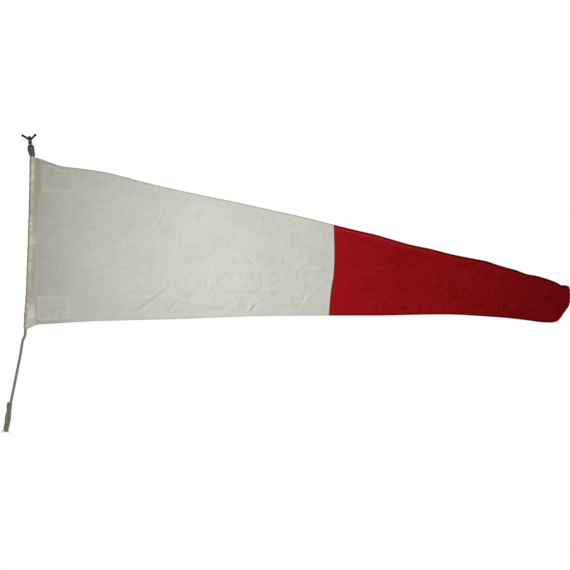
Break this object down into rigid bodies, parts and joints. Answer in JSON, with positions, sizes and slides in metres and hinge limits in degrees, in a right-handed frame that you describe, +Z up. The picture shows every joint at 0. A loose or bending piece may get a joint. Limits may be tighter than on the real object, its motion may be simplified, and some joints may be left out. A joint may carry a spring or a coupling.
{
  "type": "signal pennant",
  "caption": "White and red tapered signal flag with a roped canvas heading, a metal clip at the head and a tail line with an eye at the foot.",
  "frame": {"origin": "centre of the clip's ring hole, where a halyard holds the pennant up", "axes": "+Z up along the hoist, +X from the hoist towards the fly, +Y from the flag's front face to its back face"},
  "size_m": [1.9945, 0.0283, 1.0513],
  "materials": {
    "cast_metal": "dull grey casting",
    "black_cord": "matt braid",
    "hemp_rope": "weathered rope",
    "dark_twine": "tarred twine",
    "heading_canvas": "khaki canvas",
    "white_bunting": "off-white woven bunting",
    "red_bunting": "red woven bunting"
  },
  "bodies": {
    "hoist": {"bolt_rope": "hemp_rope", "head_seizing": "dark_twine", "heading_sleeve": "heading_canvas"},
    "clip": {"flag_clip": "cast_metal", "hanging_cord": "black_cord", "left_stopper_knot": "black_cord", "right_stopper_knot": "black_cord"},
    "white": {"white_panel": "white_bunting", "panel_seam": "white_bunting", "white_top_tabling": "white_bunting", "white_foot_tabling": "white_bunting", "upper_patch_front": "white_bunting", "upper_patch_back": "white_bunting", "lower_patch_front": "white_bunting", "lower_patch_back": "white_bunting"},
    "red": {"red_panel": "red_bunting", "red_top_tabling": "red_bunting", "red_foot_tabling": "red_bunting", "fly_tabling": "red_bunting"},
    "tail": {"tail_line": "hemp_rope", "tail_eye": "hemp_rope", "tail_seizing": "hemp_rope", "left_twine_end": "hemp_rope", "right_twine_end": "hemp_rope"}
  },
  "joints": [
    {"name": "clip_swing", "type": "hinge", "parent": "hoist", "child": "clip", "pos_m": [0.0032, 0, -0.0197], "axis": [0.9936, 0, 0.1132], "range_deg": [-85, 85]},
    {"name": "heading_fold", "type": "hinge", "parent": "hoist", "child": "white", "pos_m": [0.0305, 0, -0.3598], "axis": [0.0362, 0, 0.9993], "range_deg": [-90, 90]},
    {"name": "seam_fold", "type": "hinge", "parent": "white", "child": "red", "pos_m": [1.07155, 0, -0.45789], "axis": [0.0391, 0, 0.9992], "range_deg": [-150, 150]},
    {"name": "tail_swing", "type": "hinge", "parent": "hoist", "child": "tail", "pos_m": [-0.0156, 0, -0.669], "axis": [0, 1, 0], "range_deg": [-75, 75]}
  ]
}
